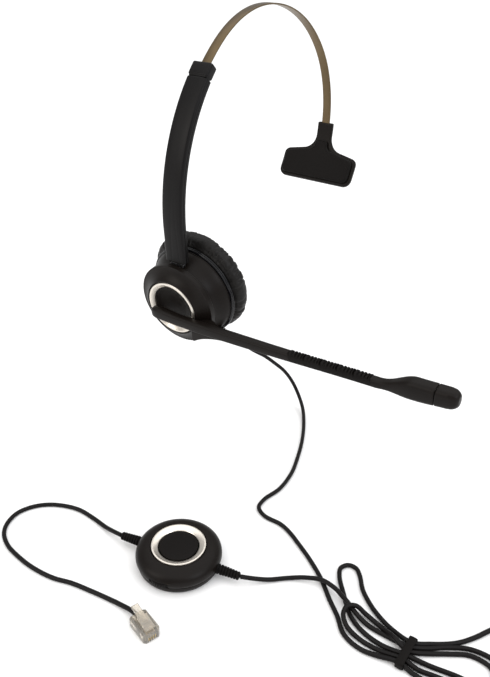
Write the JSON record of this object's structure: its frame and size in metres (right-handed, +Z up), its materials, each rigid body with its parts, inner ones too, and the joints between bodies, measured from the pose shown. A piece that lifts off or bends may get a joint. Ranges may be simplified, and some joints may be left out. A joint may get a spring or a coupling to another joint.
{
  "type": "office headset",
  "caption": "Single-ear office headset with a spring headband, sliding arm, T-bar pad, rotating boom microphone, and a cord with an inline control and modular plug.",
  "frame": {"origin": "the crown, where the inner face of the headband rests on the wearer's head", "axes": "+Z up, +X from the ear cup to the T-bar, the wearer faces -Y"},
  "size_m": [0.2894, 0.26, 0.2083],
  "materials": {
    "band_steel": "olive-bronze spring steel with a brushed grain",
    "arm_plastic": "satin black, slightly bluish",
    "shell_plastic": "fine satin moulded black",
    "soft_plastic": "soft-touch black",
    "gloss_plastic": "glossy ribbed black",
    "chrome_trim": "bright plated, warm",
    "steel": "plain steel",
    "leatherette": "wrinkled black leatherette",
    "foam": "black acoustic foam cloth",
    "rubber": "matt black rubber",
    "cord_jacket": "satin black cord jacket",
    "clear_plastic": "clear polycarbonate, slightly warm",
    "gold": "gold-plated contacts",
    "board": "green circuit board",
    "diaphragm": "thin grey film"
  },
  "bodies": {
    "ear_cup": {"hinge_pin": "steel", "speaker_housing": "shell_plastic", "cushion_collar": "gloss_plastic", "baffle": "shell_plastic", "speaker_basket": "steel", "speaker_magnet": "steel", "speaker_diaphragm": "diaphragm", "speaker_scrim": "foam", "ear_cushion": "leatherette", "cord_relief_ear": "rubber", "control_base": "shell_plastic", "control_top": "shell_plastic", "control_ring": "chrome_trim", "button_dome": "rubber", "circuit_board": "board", "control_screw_1": "steel", "control_screw_2": "steel", "relief_to_ear": "rubber", "relief_to_plug": "rubber", "plug_body": "clear_plastic", "plug_contact_1": "gold", "plug_contact_2": "gold", "plug_contact_3": "gold", "plug_contact_4": "gold", "cord_feed": "cord_jacket", "cord_hank": "cord_jacket", "hank_tie": "soft_plastic", "cord_loop": "cord_jacket", "cord_coil_in": "cord_jacket", "cord_coil": "cord_jacket", "cord_coil_out": "cord_jacket", "cord_return": "cord_jacket", "cord_lead": "cord_jacket"},
    "arm": {"arm_outer_shell": "arm_plastic", "arm_inner_shell": "arm_plastic", "arm_end_cap": "arm_plastic", "arm_tongue": "steel", "arm_screw": "steel"},
    "band": {"band_strip": "band_steel", "strip_stop": "soft_plastic", "tbar_shell": "shell_plastic", "tbar_pad": "soft_plastic"},
    "boom": {"boom_base": "shell_plastic", "hub_post": "steel", "chrome_ring": "chrome_trim", "recess_dish": "shell_plastic", "hub_clip": "steel", "friction_ring": "soft_plastic"},
    "flex_1": {"flex_link_1": "soft_plastic"},
    "flex_2": {"flex_link_2": "soft_plastic"},
    "flex_3": {"flex_link_3": "soft_plastic"},
    "flex_4": {"flex_link_4": "soft_plastic"},
    "microphone": {"flex_link_5": "soft_plastic", "mic_housing": "shell_plastic", "mic_capsule": "steel", "mic_cap": "shell_plastic"},
    "mute_button": {"mute_button": "soft_plastic"},
    "volume_wheel": {"volume_wheel": "soft_plastic"},
    "plug_latch": {"plug_latch": "clear_plastic"}
  },
  "joints": [
    {"name": "ear_tilt", "type": "hinge", "parent": "ear_cup", "child": "arm", "pos_m": [-0.07646, 0, -0.1228], "axis": [0, 1, 0], "range_deg": [-5, 8]},
    {"name": "band_slide", "type": "hinge", "parent": "arm", "child": "band", "pos_m": [0.01935, 0, -0.09109], "axis": [0, 1, 0], "range_deg": [-8.5, 14]},
    {"name": "boom_turn", "type": "hinge", "parent": "ear_cup", "child": "boom", "pos_m": [-0.07902, 0, -0.1402], "axis": [0.9873, 0, 0.1588], "range_deg": [-200, 18]},
    {"name": "boom_bend_1", "type": "hinge", "parent": "boom", "child": "flex_1", "pos_m": [-0.0844, -0.07625, -0.14352], "axis": [-0.1588, 0, 0.9873], "range_deg": [-8, 8]},
    {"name": "boom_bend_2", "type": "hinge", "parent": "flex_1", "child": "flex_2", "pos_m": [-0.08423, -0.08485, -0.14315], "axis": [-0.1588, 0, 0.9873], "range_deg": [-8, 8]},
    {"name": "boom_bend_3", "type": "hinge", "parent": "flex_2", "child": "flex_3", "pos_m": [-0.08407, -0.09345, -0.14277], "axis": [-0.1588, 0, 0.9873], "range_deg": [-8, 8]},
    {"name": "boom_bend_4", "type": "hinge", "parent": "flex_3", "child": "flex_4", "pos_m": [-0.0839, -0.10205, -0.14241], "axis": [-0.1588, 0, 0.9873], "range_deg": [-8, 8]},
    {"name": "boom_bend_5", "type": "hinge", "parent": "flex_4", "child": "microphone", "pos_m": [-0.08372, -0.11065, -0.14209], "axis": [-0.1588, 0, 0.9873], "range_deg": [-8, 8]},
    {"name": "mute_press", "type": "slide", "parent": "ear_cup", "child": "mute_button", "axis": [0, 0, -1], "range_m": [0, 0.0008], "stiffness_N_per_m": 600},
    {"name": "volume_turn", "type": "hinge", "parent": "ear_cup", "child": "volume_wheel", "pos_m": [-0.18405, -0.07556, -0.2024], "axis": [0, 0, 1], "range_deg": [-150, 150]},
    {"name": "latch_press", "type": "hinge", "parent": "ear_cup", "child": "plug_latch", "pos_m": [-0.20811, -0.08878, -0.2026], "axis": [-0.9537, 0.3007, 0], "range_deg": [0, 8], "stiffness_Nm_per_rad": 0.02}
  ],
  "couplings": [
    {"joint": "boom_bend_2", "follows": "boom_bend_1", "ratio": 1},
    {"joint": "boom_bend_3", "follows": "boom_bend_1", "ratio": 1},
    {"joint": "boom_bend_4", "follows": "boom_bend_1", "ratio": 1},
    {"joint": "boom_bend_5", "follows": "boom_bend_1", "ratio": 1}
  ]
}
